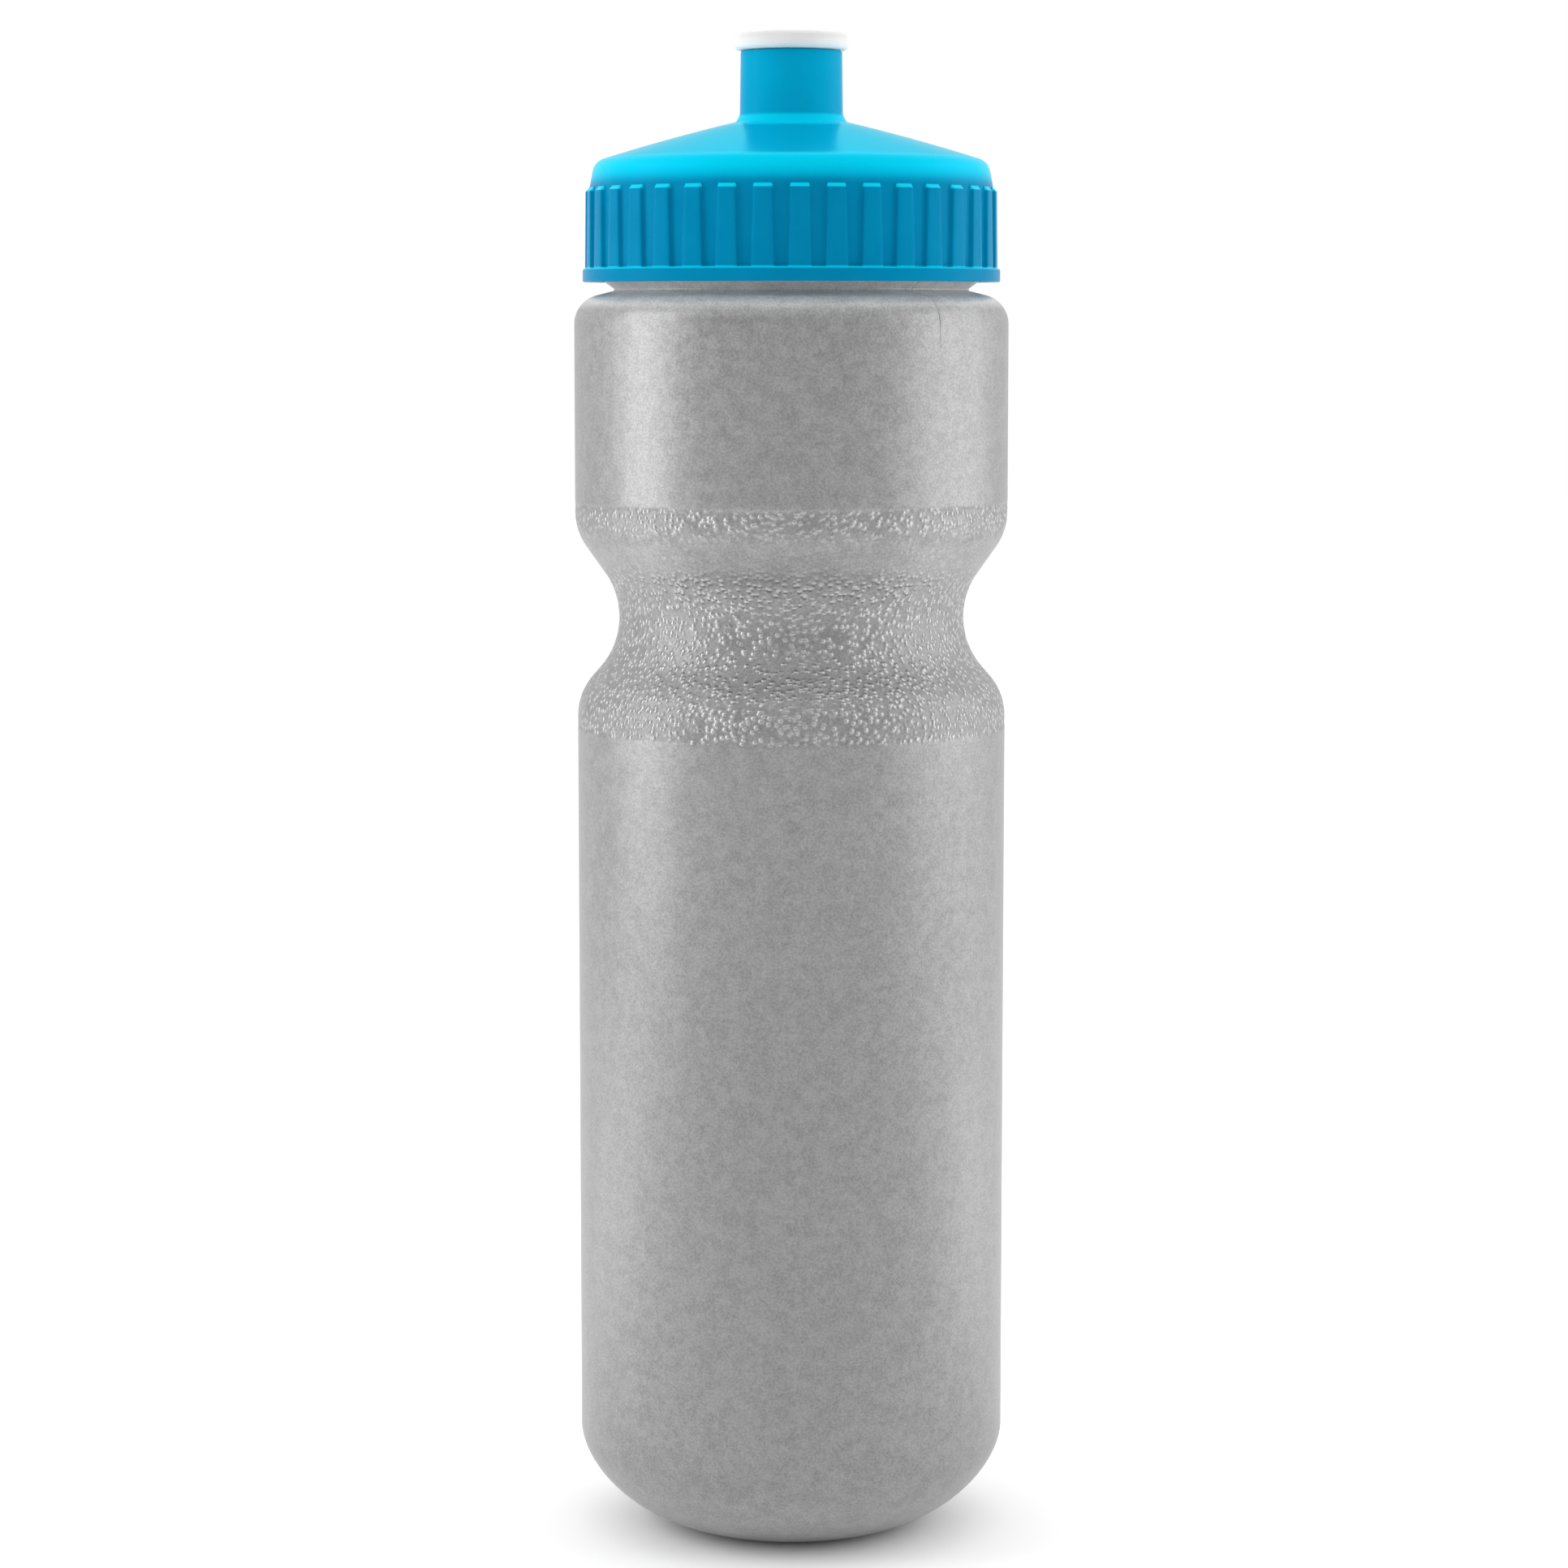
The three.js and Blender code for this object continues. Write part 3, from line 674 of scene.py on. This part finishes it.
class Graph:
    """A node tree that is filled one node at a time."""

    def __init__(self, tree):
        self.tree = tree

    def add(self, kind, settings, inputs, output=0):
        """A new node with its settings, then its inputs' values or links; returns one output."""
        node = self.tree.nodes.new(kind)
        for key, value in settings.items():
            setattr(node, key, value)
        for key, value in inputs.items():
            self.plug(node.inputs[key], value)
        return Wire(self, node.outputs[output])

    def plug(self, socket, value):
        """Links a wire to an input, or sets the input to a plain value."""
        if isinstance(value, Wire):
            self.tree.links.new(value.socket, socket)
        else:
            socket.default_value = value

    def step(self, value, low, high):
        """0 below low, 1 above high, and a smooth rise between them."""
        settings = {"interpolation_type": "SMOOTHSTEP"}
        return self.add("ShaderNodeMapRange", settings, {"Value": value, "From Min": low, "From Max": high})

    def noise(self, place, size, detail, seed, roughness=0.5):
        """Even noise, mostly from 0.3 to 0.7, with patches of about one size in metres."""
        sockets = {"Vector": place, "W": seed, "Scale": 1 / size, "Detail": detail, "Roughness": roughness}
        return self.add("ShaderNodeTexNoise", {"noise_dimensions": "4D"}, sockets)

    def within(self, value, low, high, fade):
        """1 between low and high, 0 outside, with each edge faded by as much on both its sides."""
        above_low = self.step(value, low - fade, low + fade)
        below_high = 1 - self.step(value, high - fade, high + fade)
        return above_low * below_high

    def band(self, height):
        """1 inside the grip band and 0 outside, and low on the slope where the pebbles are worn flat."""
        band = self.within(height, BAND_FOOT, BAND_TOP, BAND_FADE)
        return band * (1 - CALM_WEAR * self.within(height, CALM_FOOT, CALM_TOP, CALM_FADE))

    def hollows(self, place, height):
        """Depth between the grip's pebbles, 0 to 1, which leaves small rounded domes."""
        settings = {"feature": "SMOOTH_F1"}
        sockets = {"Vector": place, "Scale": 1 / PEBBLE_SIZE, "Smoothness": PEBBLE_SMOOTHNESS}
        from_middle = self.add("ShaderNodeTexVoronoi", settings, sockets, "Distance")
        return self.step(from_middle, PEBBLE_CROWN, PEBBLE_RIM) * self.band(height)


def geometry_tree(name, sockets):
    """A geometry tree with named inputs, its graph, and a function that reads an input."""
    tree = bpy.data.node_groups.new(name, "GeometryNodeTree")
    tree.interface.new_socket("Geometry", in_out="OUTPUT", socket_type="NodeSocketGeometry")
    tree.interface.new_socket("Geometry", in_out="INPUT", socket_type="NodeSocketGeometry")
    for label, kind in sockets.items():
        tree.interface.new_socket(label, in_out="INPUT", socket_type="NodeSocket" + kind)
    graph = Graph(tree)
    inputs = tree.nodes.new("NodeGroupInput")
    return graph, lambda label: Wire(graph, inputs.outputs[label])


def closed_tree(graph, geometry, finish):
    """Ends a tree: realized, smooth, with its material set."""
    real = graph.add("GeometryNodeRealizeInstances", {}, {"Geometry": geometry})
    merged = graph.add("GeometryNodeMergeByDistance", {}, {"Geometry": real, "Distance": MERGE_DISTANCE})
    smooth = graph.add("GeometryNodeSetShadeSmooth", {}, {"Geometry": merged})
    coated = graph.add("GeometryNodeSetMaterial", {}, {"Geometry": smooth, "Material": finish})
    output = graph.tree.nodes.new("NodeGroupOutput")
    graph.plug(output.inputs["Geometry"], coated)
    return graph.tree


def ring_of_copies():
    """Turns copies of one wedge about the axis until the ring is full."""
    graph, given = geometry_tree("ring_of_copies", {"Count": "Int", "Phase": "Float", "Finish": "Material"})
    wedge = graph.add("GeometryNodeGeometryToInstance", {}, {"Geometry": given("Geometry")})
    settings = {"domain": "INSTANCE"}
    sockets = {"Geometry": wedge, "Amount": given("Count")}
    copies = graph.add("GeometryNodeDuplicateElements", settings, sockets, "Geometry")
    number = graph.add("GeometryNodeInputIndex", {}, {})
    angle = number * TAU / given("Count") + given("Phase")
    turn = graph.add("ShaderNodeCombineXYZ", {}, {"Z": angle})
    ring = graph.add("GeometryNodeRotateInstances", {}, {"Instances": copies, "Rotation": turn})
    return closed_tree(graph, ring, given("Finish"))


def pebbled_skin():
    """Sinks the outside of a skin between the grip's pebbles."""
    graph, given = geometry_tree("pebbled_skin", {"Pebble Height": "Float", "Finish": "Material"})
    place = graph.add("GeometryNodeInputPosition", {}, {})
    normal = graph.add("GeometryNodeInputNormal", {}, {})
    height = graph.add("ShaderNodeSeparateXYZ", {}, {"Vector": place}, "Z")
    across = graph.add("ShaderNodeVectorMath", {"operation": "MULTIPLY"}, {0: place, 1: (1, 1, 0)})
    facing = graph.add("ShaderNodeVectorMath", {"operation": "DOT_PRODUCT"}, {0: across, 1: normal}, "Value")
    rise = graph.hollows(place, height) * given("Pebble Height") * -1
    offset = graph.add("ShaderNodeVectorMath", {"operation": "SCALE"}, {"Vector": normal, "Scale": rise})
    sockets = {"Geometry": given("Geometry"), "Selection": facing > 0, "Offset": offset}
    textured = graph.add("GeometryNodeSetPosition", {}, sockets)
    return closed_tree(graph, textured, given("Finish"))


def apply_modifiers(piece):
    """Replaces a piece's mesh with its evaluated mesh, and takes its modifiers off."""
    bpy.context.view_layer.update()
    evaluated = piece.evaluated_get(bpy.context.evaluated_depsgraph_get())
    mesh = bpy.data.meshes.new_from_object(evaluated)
    piece.modifiers.clear()
    piece.data = mesh
    mesh.name = piece.name


def grow(piece, tree, values):
    """Runs a geometry tree on a piece and keeps the result as its plain mesh."""
    modifier = piece.modifiers.new("growth", "NODES")
    modifier.node_group = tree
    for item in tree.interface.items_tree:
        if item.name in values:
            modifier[item.identifier] = values[item.name]
    apply_modifiers(piece)


def unite(piece, parts):
    """Joins closed meshes into one closed mesh."""
    for part in parts:
        union = piece.modifiers.new("union", "BOOLEAN")
        union.operation = "UNION"
        union.solver = "EXACT"
        union.object = part
    apply_modifiers(piece)
    for part in parts:
        bpy.data.objects.remove(part)


# ---- Finishes

class Finish(Graph):
    """A material made on the Principled shader, with patterns on Object coordinates."""

    def __init__(self, name, **constants):
        self.material = bpy.data.materials.new(name)
        self.material.use_nodes = True
        super().__init__(self.material.node_tree)
        self.shader = self.tree.nodes["Principled BSDF"]
        for label, value in constants.items():
            self.shader.inputs[label.replace("_", " ")].default_value = value
        self.place = self.add("ShaderNodeTexCoord", {}, {}, "Object")
        self.height = self.add("ShaderNodeSeparateXYZ", {}, {"Vector": self.place}, "Z")

    def blend(self, share, low, high):
        """A colour between two, by share."""
        ends = [end if isinstance(end, Wire) else (*end, 1) for end in (low, high)]
        return self.add("ShaderNodeMix", {"data_type": "RGBA"}, {0: share, 6: ends[0], 7: ends[1]}, 2)

    def relief(self, height, distance, under=None):
        """A bump of a height map, 0 to 1, that stands a distance in metres above the surface."""
        sockets = {"Height": height, "Distance": distance, "Strength": 1.0}
        if under:
            sockets["Normal"] = under
        return self.add("ShaderNodeBump", {}, sockets)

    def paint(self, **wires):
        """Plugs the shader's inputs, and returns the finished material."""
        for label, wire in wires.items():
            self.plug(self.shader.inputs[label.replace("_", " ")], wire)
        return self.material


def silver_polyethylene():
    """Blow-moulded polyethylene with metal pigment: cloudy and finely grained, with painted highlights on
    the pebbles, painted shade on the lower wall and grip, and painted light at the base corner, the neck and
    under the lid.
    """
    finish = Finish("silver_polyethylene", Specular_IOR_Level=0.4)
    place, height = finish.place, finish.height
    clouds = finish.noise(place, CLOUD_SIZE, detail=8.0, seed=3.0, roughness=0.78)
    grain = finish.noise(place, GRAIN_SIZE, detail=1.0, seed=11.0)
    flakes = finish.step(clouds, *FLAKE_EDGES)
    # painted shade: the lower wall, below the waist, is darkened
    lower = 1 - finish.step(height, *LOWER_WALL)
    # painted light: the base corner is lightened against the shade from the floor beneath it
    corner = 1 - finish.step(height, BODY_FOOT, BASE_CORNER_HEIGHT)
    # painted light: the neck and the shoulder's top, in the lid's shadow, are lightened
    neck = finish.step(height, *NECK_RISE)
    # painted light: the strip under the lid's skirt, where its shadow falls, is lightened
    under_lid_light = finish.within(height, *UNDER_LID)
    hollows = finish.hollows(place, height)
    grip = finish.band(height)
    # painted highlights: the pebbles' domes are made lighter and paler as painted glints, and the whole band
    # darker as painted shade between them
    domes = grip - hollows
    # zones scale the colour: painted shade on the lower wall and grip, painted light at the base corner,
    # neck, under the lid and on the domes
    zones = 1 - LOWER_PAINTED_SHADE * lower + CORNER_PAINTED_LIGHT * corner + NECK_PAINTED_LIGHT * neck
    zones = zones + UNDER_LID_PAINTED_LIGHT * under_lid_light + DOME_PAINTED_GLINT * domes - GRIP_PAINTED_SHADE * grip
    metallic = BODY_METALLIC - LOWER_LESS_METALLIC * lower - NECK_LESS_METALLIC * neck
    metallic = metallic + DOME_METALLIC * domes
    tone = flakes * FLAKE_TONE + finish.step(grain, *GRAIN_EDGES) * GRAIN_TONE + domes * DOME_GLINT_TONE
    even = finish.blend(tone, BODY_DARK, BODY_LIGHT)
    colour = finish.add("ShaderNodeVectorMath", {"operation": "SCALE"}, {"Vector": even, "Scale": zones})
    roughness = BODY_ROUGHNESS + (flakes - 0.5) * FLAKE_ROUGHENING
    roughness = roughness + grip * GRIP_ROUGHENING - domes * DOME_POLISH
    skin = finish.relief(grain, GRAIN_RELIEF)
    seam = finish.relief(parting_line(finish), SEAM_RELIEF, skin)
    pebbles = finish.relief(1 - hollows, PEBBLE_RELIEF, seam)
    return finish.paint(Base_Color=colour, Metallic=metallic, Roughness=roughness, Normal=pebbles)


def parting_line(finish):
    """The fine ridge where the mould's halves met, which shows on the shoulder and fades below it."""
    toward = (-math.sin(PARTING_ANGLE), math.cos(PARTING_ANGLE), 0)
    settings = {"operation": "DOT_PRODUCT"}
    across = finish.add("ShaderNodeVectorMath", settings, {0: finish.place, 1: toward}, "Value")
    ridge = 1 - finish.step(abs(across), *SEAM_WIDTH)
    return ridge * finish.step(finish.height, *SEAM_RISE)


def cyan_lid():
    """Injection-moulded polypropylene, evenly dyed, with painted light above the ribs and painted highlights
    on every rounded edge and on the cone.
    """
    finish = Finish("cyan_lid", Specular_IOR_Level=0.02, Specular_Tint=(0.02, 0.9, 1, 1))
    height = finish.height
    clouds = finish.noise(finish.place, LID_CLOUD_SIZE, detail=3.0, seed=5.0)
    grain = finish.noise(finish.place, LID_GRAIN_SIZE, detail=1.0, seed=2.0)
    across = finish.add("ShaderNodeVectorMath", {"operation": "MULTIPLY"}, {0: finish.place, 1: (1, 1, 0)})
    radius = finish.add("ShaderNodeVectorMath", {"operation": "LENGTH"}, {0: across}, "Value")
    # painted highlights: the rib caps, the shoulder, the spout's flare and the bead's top edge take the
    # highlight colour, and the cone a share of it as painted reflection
    cone = finish.within(height, *CONE_ZONE)
    rib_cap_highlight = finish.within(height, *RIB_CAP_ZONE) * finish.step(radius, *RIB_CAP_RADIUS)
    shoulder = finish.step(height, *SHOULDER_RISE) * (1 - finish.step(height, *SHOULDER_FALL))
    flare = finish.within(height, *FLARE_ZONE)
    bead_edge_highlight = finish.within(height, *BEAD_EDGE_ZONE)
    bright = rib_cap_highlight + shoulder * SHOULDER_HIGHLIGHT_SHARE + flare + bead_edge_highlight + cone * CONE_HIGHLIGHT_SHARE
    tone = finish.step(clouds, *NOISE_EDGES) * LID_CLOUD_TONE
    # painted light: everything above the ribs takes the lighter colour, as if lit from above
    tone = tone + finish.step(height, *ABOVE_RIBS) * (1 - LID_CLOUD_TONE)
    colour = finish.blend(bright, finish.blend(tone, LID_DARK, LID_CLOUD_AND_TOPLIT), LID_PAINTED_HIGHLIGHT)
    roughness = LID_ROUGHNESS + (clouds - 0.5) * LID_CLOUD_ROUGHENING - cone * CONE_POLISH
    metallic = cone * CONE_METALLIC
    bump = finish.relief(grain, LID_GRAIN_RELIEF)
    return finish.paint(Base_Color=colour, Metallic=metallic, Roughness=roughness, Normal=bump)


def white_valve():
    """Soft milky polyethylene, which light enters and spreads in; its crown is painted darker, as painted
    shade against the light from above.
    """
    soft = {"Subsurface_Weight": 1.0, "Subsurface_Radius": (1, 1, 1), "Subsurface_Scale": VALVE_DEPTH}
    finish = Finish("white_valve", Specular_IOR_Level=0.1, **soft)
    clouds = finish.noise(finish.place, VALVE_CLOUD_SIZE, detail=3.0, seed=8.0)
    grain = finish.noise(finish.place, VALVE_GRAIN_SIZE, detail=1.0, seed=4.0)
    tone = finish.step(clouds, *NOISE_EDGES) * VALVE_CLOUD_TONE
    # painted shade: the crown, which the top light falls on most, is darker
    tone = tone + finish.step(finish.height, *VALVE_CROWN) * (1 - VALVE_CLOUD_TONE)
    colour = finish.blend(tone, VALVE_FOOT_COLOUR, VALVE_CROWN_SHADED_COLOUR)
    roughness = VALVE_ROUGHNESS + (clouds - 0.5) * VALVE_CLOUD_ROUGHENING
    bump = finish.relief(grain, VALVE_GRAIN_RELIEF)
    return finish.paint(Base_Color=colour, Roughness=roughness, Normal=bump)


def sealing_ring():
    """Pale grey soft rubber."""
    finish = Finish("sealing_ring", Specular_IOR_Level=0.35)
    grain = finish.noise(finish.place, RUBBER_GRAIN_SIZE, detail=3.0, seed=6.0)
    colour = finish.blend(finish.step(grain, *NOISE_EDGES), RUBBER_DARK, RUBBER_LIGHT)
    roughness = RUBBER_ROUGHNESS + (grain - 0.5) * RUBBER_ROUGHENING
    bump = finish.relief(grain, RUBBER_GRAIN_RELIEF)
    return finish.paint(Base_Color=colour, Roughness=roughness, Normal=bump)


def studio_floor():
    """Plain matt paper, very faintly uneven."""
    finish = Finish("studio_floor", Roughness=0.9, Specular_IOR_Level=0.1)
    patches = finish.noise(finish.place, FLOOR_PATCH_SIZE, detail=2.0, seed=1.0)
    return finish.paint(Base_Color=finish.blend(patches, FLOOR_DARK, FLOOR_LIGHT))


# ---- The four pieces

def finished(piece, body, node):
    """Puts a piece on its body, in place of its CAD node."""
    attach(piece, body)
    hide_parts(node)


def make_bottle():
    """The silver bottle, threaded and pebbled."""
    bottle = bottle_blank()
    cut_thread(bottle, NECK_RADIUS, NECK_THREAD_HEIGHT, THREAD_START)
    grow(bottle, pebbled_skin(), {"Pebble Height": PEBBLE_SUNK, "Finish": silver_polyethylene()})
    finished(bottle, "bottle", "bottle_body")


def make_lid():
    """The cyan lid: a ring of ribbed wedges, threaded inside, with the closing pin on its spokes."""
    dyed = cyan_lid()
    ring = ring_of_copies()
    lid = lid_wedge()
    grow(lid, ring, {"Count": RIB_COUNT, "Phase": RIB_PHASE, "Finish": dyed})
    cut_thread(lid, LID_BORE, -LID_THREAD_HEIGHT, THREAD_START - THREAD_PITCH / 2)
    reach = SPOUT_BORE + SPOKE_SINK
    spokes = beam("spokes", PIN_RADIUS / 2, reach, SPOKE_WIDTH, SPOKE_FOOT, SPOKE_HEIGHT)
    grow(spokes, ring, {"Count": SPOKE_COUNT, "Phase": RIB_PHASE, "Finish": dyed})
    pin = closing_pin()
    pin.data.materials.append(dyed)
    unite(lid, [pin, spokes])
    lid.data.shade_smooth()
    lid.data.set_sharp_from_angle(angle=LID_CREASE)
    finished(lid, "lid", "screw_cap")


def make_valve():
    """The white push-pull valve."""
    outline = valve_outline()
    valve = turned("valve_moulding", outline, [VALVE_SIDES] * len(outline), closed=True)
    valve.data.materials.append(white_valve())
    valve.data.shade_smooth()
    finished(valve, "valve", "push_pull_valve")


def make_seal():
    """The flat sealing ring under the lid's deck."""
    outline = filleted([
        (GASKET_BORE, GASKET_FOOT, 0.3 * MM),
        (GASKET_RADIUS, GASKET_FOOT, 0.3 * MM),
        (GASKET_RADIUS, GASKET_TOP, 0.3 * MM),
        (GASKET_BORE, GASKET_TOP, 0.3 * MM),
    ])
    seal = turned("seal_ring", outline, [BODY_SIDES] * len(outline), closed=True)
    seal.data.materials.append(sealing_ring())
    seal.data.shade_smooth()
    finished(seal, "seal", "cap_gasket")


# ---- Studio

def make_floor():
    """A wide plain sheet at the height of the bottle's foot."""
    side = FLOOR_SIZE / 2
    corners = [(x, y, BODY_FOOT) for x, y in ((-side, -side), (side, -side), (side, side), (-side, side))]
    floor = mesh_object("studio_floor", corners, [(0, 1, 2, 3)])
    floor.data.materials.append(studio_floor())


def soft_light(name, bearing, distance, height, width, tall, power):
    """A rectangular soft light that faces the middle of the bottle."""
    light = bpy.data.lights.new(name, "AREA")
    light.shape = "RECTANGLE"
    light.size = width
    light.size_y = tall
    light.energy = power
    lamp = bpy.data.objects.new(name, light)
    bpy.context.scene.collection.objects.link(lamp)
    turn = math.radians(bearing)
    lamp.location = (distance * math.sin(turn), -distance * math.cos(turn), height)
    aim = Vector((0, 0, LIP / 2)) - lamp.location
    lamp.rotation_euler = aim.to_track_quat("-Z", "Y").to_euler()
    lamp.visible_camera = False


def make_world():
    """A studio tent: dim on the camera's side, brighter behind and above, and plain white to look at."""
    world = bpy.data.worlds.new("studio")
    bpy.context.scene.world = world
    world.use_nodes = True
    world.node_tree.nodes.clear()
    graph = Graph(world.node_tree)
    direction = graph.add("ShaderNodeTexCoord", {}, {}, "Generated")
    behind = graph.add("ShaderNodeSeparateXYZ", {}, {"Vector": direction}, "Y")
    above = graph.add("ShaderNodeSeparateXYZ", {}, {"Vector": direction}, "Z")
    glow = FRONT_GLOW + (BACK_GLOW - FRONT_GLOW) * graph.step(behind, *TO_THE_BACK)
    glow = glow + TOP_GLOW * graph.step(above, *TO_THE_TOP)
    tent = graph.add("ShaderNodeBackground", {}, {"Color": (1, 1, 1, 1), "Strength": glow})
    paper = graph.add("ShaderNodeBackground", {}, {"Color": (1, 1, 1, 1), "Strength": 1.0})
    seen = graph.add("ShaderNodeLightPath", {}, {}, "Is Camera Ray")
    both = graph.add("ShaderNodeMixShader", {}, {0: seen, 1: tent, 2: paper})
    output = graph.tree.nodes.new("ShaderNodeOutputWorld")
    graph.plug(output.inputs["Surface"], both)


def make_camera():
    """The view of the front, from a little above."""
    lens = bpy.data.cameras.new("camera")
    lens.sensor_width = SENSOR_WIDTH
    lens.lens = FOCAL_LENGTH
    lens.clip_start = 0.05
    lens.clip_end = 50
    camera = bpy.data.objects.new("camera", lens)
    bpy.context.scene.collection.objects.link(camera)
    camera.location = CAMERA_PLACE
    camera.rotation_euler = (math.pi / 2 - CAMERA_TILT, 0, 0)
    bpy.context.scene.camera = camera


# ---- Everything in its order

make_bottle()
make_lid()
make_valve()
make_seal()

make_floor()
make_world()
soft_light("left_light", bearing=-82, distance=0.62, width=0.38, power=2.0, **SIDE_LIGHT)
soft_light("right_light", bearing=91, distance=0.70, width=0.78, power=2.4, **SIDE_LIGHT)
soft_light("left_foot_light", bearing=-98, **FOOT_LIGHT)
soft_light("right_foot_light", bearing=98, **FOOT_LIGHT)
make_camera()
bpy.context.scene.view_settings.view_transform = "Standard"
